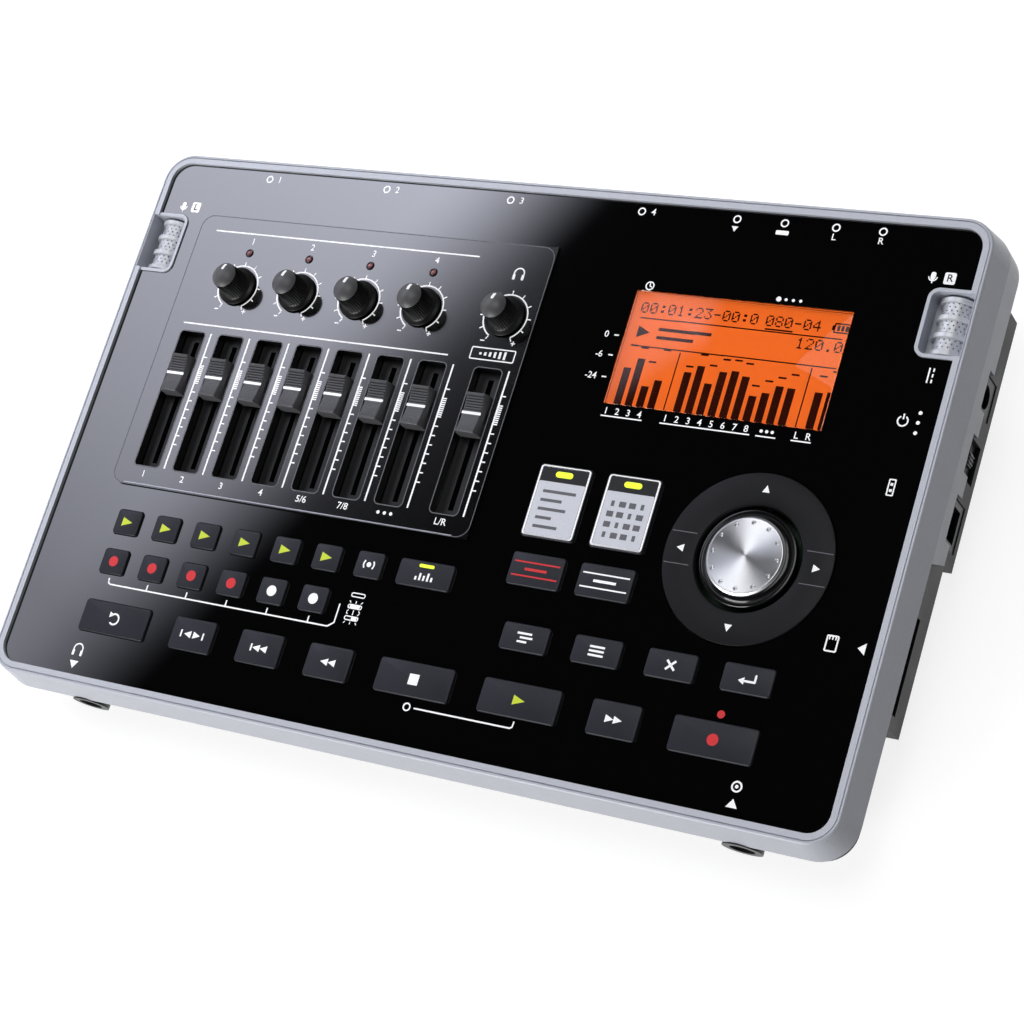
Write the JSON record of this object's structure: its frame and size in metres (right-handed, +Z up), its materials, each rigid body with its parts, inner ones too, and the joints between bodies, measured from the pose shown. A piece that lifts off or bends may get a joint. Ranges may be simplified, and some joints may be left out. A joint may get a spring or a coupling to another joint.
{
  "type": "digital multitrack recorder",
  "caption": "Desk-top recorder with a sloping gloss panel in a silver case: faders, gain knobs, transport keys, an orange display, a jog dial in a cursor ring, microphones and sockets.",
  "frame": {"origin": "middle of the outline at the surface that the feet stand on", "axes": "+X to the right along the width, +Y to the rear, +Z up"},
  "size_m": [0.258, 0.166, 0.0501],
  "materials": {
    "silver_paint": "satin silver paint on a moulded shell",
    "case_black": "fine matt texture",
    "panel_gloss": "gloss black",
    "window_clear": "clear and polished",
    "display_orange": "lit orange display",
    "board_green": "solder mask",
    "pot_body": "moulded and plated",
    "socket_black": "moulded black",
    "grille_metal": "perforated bright metal",
    "foot_rubber": "matt",
    "screw_steel": "black zinc",
    "cell_jacket": "printed jacket",
    "gimbal_white": "natural acetal",
    "ring_black": "satin charcoal",
    "dial_metal": "spun bright metal",
    "key_charcoal": "satin charcoal with fine speckle",
    "pad_silver": "satin silver",
    "knob_black": "fluted black with a grey top",
    "fader_grey": "satin grey with a white line"
  },
  "bodies": {
    "case": {"top_case": "silver_paint", "bottom_case": "case_black", "control_panel": "panel_gloss", "lcd_window": "window_clear", "lcd_module": "display_orange", "main_board": "board_green", "potentiometers": "pot_body", "sockets": "socket_black", "mic_grilles": "grille_metal", "rubber_feet": "foot_rubber", "case_screws": "screw_steel", "batteries": "cell_jacket"},
    "track_play_key_1": {"track_play_key_1": "key_charcoal"},
    "track_play_key_2": {"track_play_key_2": "key_charcoal"},
    "track_play_key_3": {"track_play_key_3": "key_charcoal"},
    "track_play_key_4": {"track_play_key_4": "key_charcoal"},
    "track_play_key_5": {"track_play_key_5": "key_charcoal"},
    "track_play_key_6": {"track_play_key_6": "key_charcoal"},
    "track_rec_key_1": {"track_rec_key_1": "key_charcoal"},
    "track_rec_key_2": {"track_rec_key_2": "key_charcoal"},
    "track_rec_key_3": {"track_rec_key_3": "key_charcoal"},
    "track_rec_key_4": {"track_rec_key_4": "key_charcoal"},
    "track_rec_key_5": {"track_rec_key_5": "key_charcoal"},
    "track_rec_key_6": {"track_rec_key_6": "key_charcoal"},
    "tap_key": {"tap_key": "key_charcoal"},
    "effect_key": {"effect_key": "key_charcoal"},
    "mode_key_left": {"mode_key_left": "key_charcoal"},
    "mode_key_right": {"mode_key_right": "key_charcoal"},
    "pad_left": {"pad_left": "pad_silver"},
    "pad_right": {"pad_right": "pad_silver"},
    "track_key": {"track_key": "key_charcoal"},
    "menu_key": {"menu_key": "key_charcoal"},
    "exit_key": {"exit_key": "key_charcoal"},
    "enter_key": {"enter_key": "key_charcoal"},
    "retry_key": {"retry_key": "key_charcoal"},
    "repeat_key": {"repeat_key": "key_charcoal"},
    "zero_key": {"zero_key": "key_charcoal"},
    "rewind_key": {"rewind_key": "key_charcoal"},
    "stop_key": {"stop_key": "key_charcoal"},
    "play_key": {"play_key": "key_charcoal"},
    "forward_key": {"forward_key": "key_charcoal"},
    "record_key": {"record_key": "key_charcoal"},
    "cursor_gimbal": {"cursor_gimbal": "gimbal_white"},
    "cursor_ring": {"cursor_ring": "ring_black"},
    "jog_dial": {"jog_dial": "dial_metal"},
    "gain_knob_1": {"gain_knob_1": "knob_black"},
    "gain_knob_2": {"gain_knob_2": "knob_black"},
    "gain_knob_3": {"gain_knob_3": "knob_black"},
    "gain_knob_4": {"gain_knob_4": "knob_black"},
    "level_knob": {"level_knob": "knob_black"},
    "track_fader_1": {"track_fader_1": "fader_grey"},
    "track_fader_2": {"track_fader_2": "fader_grey"},
    "track_fader_3": {"track_fader_3": "fader_grey"},
    "track_fader_4": {"track_fader_4": "fader_grey"},
    "track_fader_5": {"track_fader_5": "fader_grey"},
    "track_fader_6": {"track_fader_6": "fader_grey"},
    "rhythm_fader": {"rhythm_fader": "fader_grey"},
    "master_fader": {"master_fader": "fader_grey"},
    "power_switch": {"power_switch": "socket_black"},
    "battery_cover": {"battery_cover": "case_black"}
  },
  "joints": [
    {"name": "cursor_tilt_front_rear", "type": "hinge", "parent": "case", "child": "cursor_gimbal", "pos_m": [0.0866, -0.01649, 0.02761], "axis": [1, 0, 0], "range_deg": [-1.5, 1.5], "stiffness_Nm_per_rad": 1},
    {"name": "cursor_tilt_left_right", "type": "hinge", "parent": "cursor_gimbal", "child": "cursor_ring", "pos_m": [0.0866, -0.01649, 0.02761], "axis": [0, 0.9903, 0.1392], "range_deg": [-1.5, 1.5], "stiffness_Nm_per_rad": 1},
    {"name": "jog_dial_turn", "type": "hinge", "parent": "case", "child": "jog_dial", "pos_m": [0.0866, -0.01713, 0.03217], "axis": [0, -0.1392, 0.9903], "continuous": true},
    {"name": "gain_knob_1_turn", "type": "hinge", "parent": "case", "child": "gain_knob_1", "pos_m": [-0.08835, 0.03764, 0.03986], "axis": [0, -0.1392, 0.9903], "range_deg": [-150, 150]},
    {"name": "gain_knob_2_turn", "type": "hinge", "parent": "case", "child": "gain_knob_2", "pos_m": [-0.06775, 0.03764, 0.03986], "axis": [0, -0.1392, 0.9903], "range_deg": [-150, 150]},
    {"name": "gain_knob_3_turn", "type": "hinge", "parent": "case", "child": "gain_knob_3", "pos_m": [-0.04715, 0.03764, 0.03986], "axis": [0, -0.1392, 0.9903], "range_deg": [-150, 150]},
    {"name": "gain_knob_4_turn", "type": "hinge", "parent": "case", "child": "gain_knob_4", "pos_m": [-0.02655, 0.03764, 0.03986], "axis": [0, -0.1392, 0.9903], "range_deg": [-150, 150]},
    {"name": "level_knob_turn", "type": "hinge", "parent": "case", "child": "level_knob", "pos_m": [-0.0002, 0.03764, 0.03986], "axis": [0, -0.1392, 0.9903], "range_deg": [-150, 150]},
    {"name": "track_fader_1_slide", "type": "slide", "parent": "case", "child": "track_fader_1", "axis": [0, 0.9903, 0.1392], "range_m": [-0.0216, 0.0073]},
    {"name": "track_fader_2_slide", "type": "slide", "parent": "case", "child": "track_fader_2", "axis": [0, 0.9903, 0.1392], "range_m": [-0.0216, 0.0073]},
    {"name": "track_fader_3_slide", "type": "slide", "parent": "case", "child": "track_fader_3", "axis": [0, 0.9903, 0.1392], "range_m": [-0.0216, 0.0073]},
    {"name": "track_fader_4_slide", "type": "slide", "parent": "case", "child": "track_fader_4", "axis": [0, 0.9903, 0.1392], "range_m": [-0.0216, 0.0073]},
    {"name": "track_fader_5_slide", "type": "slide", "parent": "case", "child": "track_fader_5", "axis": [0, 0.9903, 0.1392], "range_m": [-0.0216, 0.0073]},
    {"name": "track_fader_6_slide", "type": "slide", "parent": "case", "child": "track_fader_6", "axis": [0, 0.9903, 0.1392], "range_m": [-0.0216, 0.0073]},
    {"name": "rhythm_fader_slide", "type": "slide", "parent": "case", "child": "rhythm_fader", "axis": [0, 0.9903, 0.1392], "range_m": [-0.0216, 0.0073]},
    {"name": "master_fader_slide", "type": "slide", "parent": "case", "child": "master_fader", "axis": [0, 0.9903, 0.1392], "range_m": [-0.0216, 0.0073]},
    {"name": "power_switch_slide", "type": "slide", "parent": "case", "child": "power_switch", "axis": [0, 0.9903, 0.1392], "range_m": [-0.002, 0.002]},
    {"name": "battery_cover_swing", "type": "hinge", "parent": "case", "child": "battery_cover", "pos_m": [0, -0.03655, 0.002], "axis": [1, 0, 0], "range_deg": [-75, 0]},
    {"name": "track_play_key_1_press", "type": "slide", "parent": "case", "child": "track_play_key_1", "axis": [0, -0.1392, 0.9903], "range_m": [-0.0006, 0], "stiffness_N_per_m": 800},
    {"name": "track_play_key_2_press", "type": "slide", "parent": "case", "child": "track_play_key_2", "axis": [0, -0.1392, 0.9903], "range_m": [-0.0006, 0], "stiffness_N_per_m": 800},
    {"name": "track_play_key_3_press", "type": "slide", "parent": "case", "child": "track_play_key_3", "axis": [0, -0.1392, 0.9903], "range_m": [-0.0006, 0], "stiffness_N_per_m": 800},
    {"name": "track_play_key_4_press", "type": "slide", "parent": "case", "child": "track_play_key_4", "axis": [0, -0.1392, 0.9903], "range_m": [-0.0006, 0], "stiffness_N_per_m": 800},
    {"name": "track_play_key_5_press", "type": "slide", "parent": "case", "child": "track_play_key_5", "axis": [0, -0.1392, 0.9903], "range_m": [-0.0006, 0], "stiffness_N_per_m": 800},
    {"name": "track_play_key_6_press", "type": "slide", "parent": "case", "child": "track_play_key_6", "axis": [0, -0.1392, 0.9903], "range_m": [-0.0006, 0], "stiffness_N_per_m": 800},
    {"name": "track_rec_key_1_press", "type": "slide", "parent": "case", "child": "track_rec_key_1", "axis": [0, -0.1392, 0.9903], "range_m": [-0.0006, 0], "stiffness_N_per_m": 800},
    {"name": "track_rec_key_2_press", "type": "slide", "parent": "case", "child": "track_rec_key_2", "axis": [0, -0.1392, 0.9903], "range_m": [-0.0006, 0], "stiffness_N_per_m": 800},
    {"name": "track_rec_key_3_press", "type": "slide", "parent": "case", "child": "track_rec_key_3", "axis": [0, -0.1392, 0.9903], "range_m": [-0.0006, 0], "stiffness_N_per_m": 800},
    {"name": "track_rec_key_4_press", "type": "slide", "parent": "case", "child": "track_rec_key_4", "axis": [0, -0.1392, 0.9903], "range_m": [-0.0006, 0], "stiffness_N_per_m": 800},
    {"name": "track_rec_key_5_press", "type": "slide", "parent": "case", "child": "track_rec_key_5", "axis": [0, -0.1392, 0.9903], "range_m": [-0.0006, 0], "stiffness_N_per_m": 800},
    {"name": "track_rec_key_6_press", "type": "slide", "parent": "case", "child": "track_rec_key_6", "axis": [0, -0.1392, 0.9903], "range_m": [-0.0006, 0], "stiffness_N_per_m": 800},
    {"name": "tap_key_press", "type": "slide", "parent": "case", "child": "tap_key", "axis": [0, -0.1392, 0.9903], "range_m": [-0.0006, 0], "stiffness_N_per_m": 800},
    {"name": "effect_key_press", "type": "slide", "parent": "case", "child": "effect_key", "axis": [0, -0.1392, 0.9903], "range_m": [-0.0006, 0], "stiffness_N_per_m": 800},
    {"name": "mode_key_left_press", "type": "slide", "parent": "case", "child": "mode_key_left", "axis": [0, -0.1392, 0.9903], "range_m": [-0.0006, 0], "stiffness_N_per_m": 800},
    {"name": "mode_key_right_press", "type": "slide", "parent": "case", "child": "mode_key_right", "axis": [0, -0.1392, 0.9903], "range_m": [-0.0006, 0], "stiffness_N_per_m": 800},
    {"name": "pad_left_press", "type": "slide", "parent": "case", "child": "pad_left", "axis": [0, -0.1392, 0.9903], "range_m": [-0.0006, 0], "stiffness_N_per_m": 800},
    {"name": "pad_right_press", "type": "slide", "parent": "case", "child": "pad_right", "axis": [0, -0.1392, 0.9903], "range_m": [-0.0006, 0], "stiffness_N_per_m": 800},
    {"name": "track_key_press", "type": "slide", "parent": "case", "child": "track_key", "axis": [0, -0.1392, 0.9903], "range_m": [-0.0006, 0], "stiffness_N_per_m": 800},
    {"name": "menu_key_press", "type": "slide", "parent": "case", "child": "menu_key", "axis": [0, -0.1392, 0.9903], "range_m": [-0.0006, 0], "stiffness_N_per_m": 800},
    {"name": "exit_key_press", "type": "slide", "parent": "case", "child": "exit_key", "axis": [0, -0.1392, 0.9903], "range_m": [-0.0006, 0], "stiffness_N_per_m": 800},
    {"name": "enter_key_press", "type": "slide", "parent": "case", "child": "enter_key", "axis": [0, -0.1392, 0.9903], "range_m": [-0.0006, 0], "stiffness_N_per_m": 800},
    {"name": "retry_key_press", "type": "slide", "parent": "case", "child": "retry_key", "axis": [0, -0.1392, 0.9903], "range_m": [-0.0006, 0], "stiffness_N_per_m": 800},
    {"name": "repeat_key_press", "type": "slide", "parent": "case", "child": "repeat_key", "axis": [0, -0.1392, 0.9903], "range_m": [-0.0006, 0], "stiffness_N_per_m": 800},
    {"name": "zero_key_press", "type": "slide", "parent": "case", "child": "zero_key", "axis": [0, -0.1392, 0.9903], "range_m": [-0.0006, 0], "stiffness_N_per_m": 800},
    {"name": "rewind_key_press", "type": "slide", "parent": "case", "child": "rewind_key", "axis": [0, -0.1392, 0.9903], "range_m": [-0.0006, 0], "stiffness_N_per_m": 800},
    {"name": "stop_key_press", "type": "slide", "parent": "case", "child": "stop_key", "axis": [0, -0.1392, 0.9903], "range_m": [-0.0006, 0], "stiffness_N_per_m": 800},
    {"name": "play_key_press", "type": "slide", "parent": "case", "child": "play_key", "axis": [0, -0.1392, 0.9903], "range_m": [-0.0006, 0], "stiffness_N_per_m": 800},
    {"name": "forward_key_press", "type": "slide", "parent": "case", "child": "forward_key", "axis": [0, -0.1392, 0.9903], "range_m": [-0.0006, 0], "stiffness_N_per_m": 800},
    {"name": "record_key_press", "type": "slide", "parent": "case", "child": "record_key", "axis": [0, -0.1392, 0.9903], "range_m": [-0.0006, 0], "stiffness_N_per_m": 800}
  ]
}
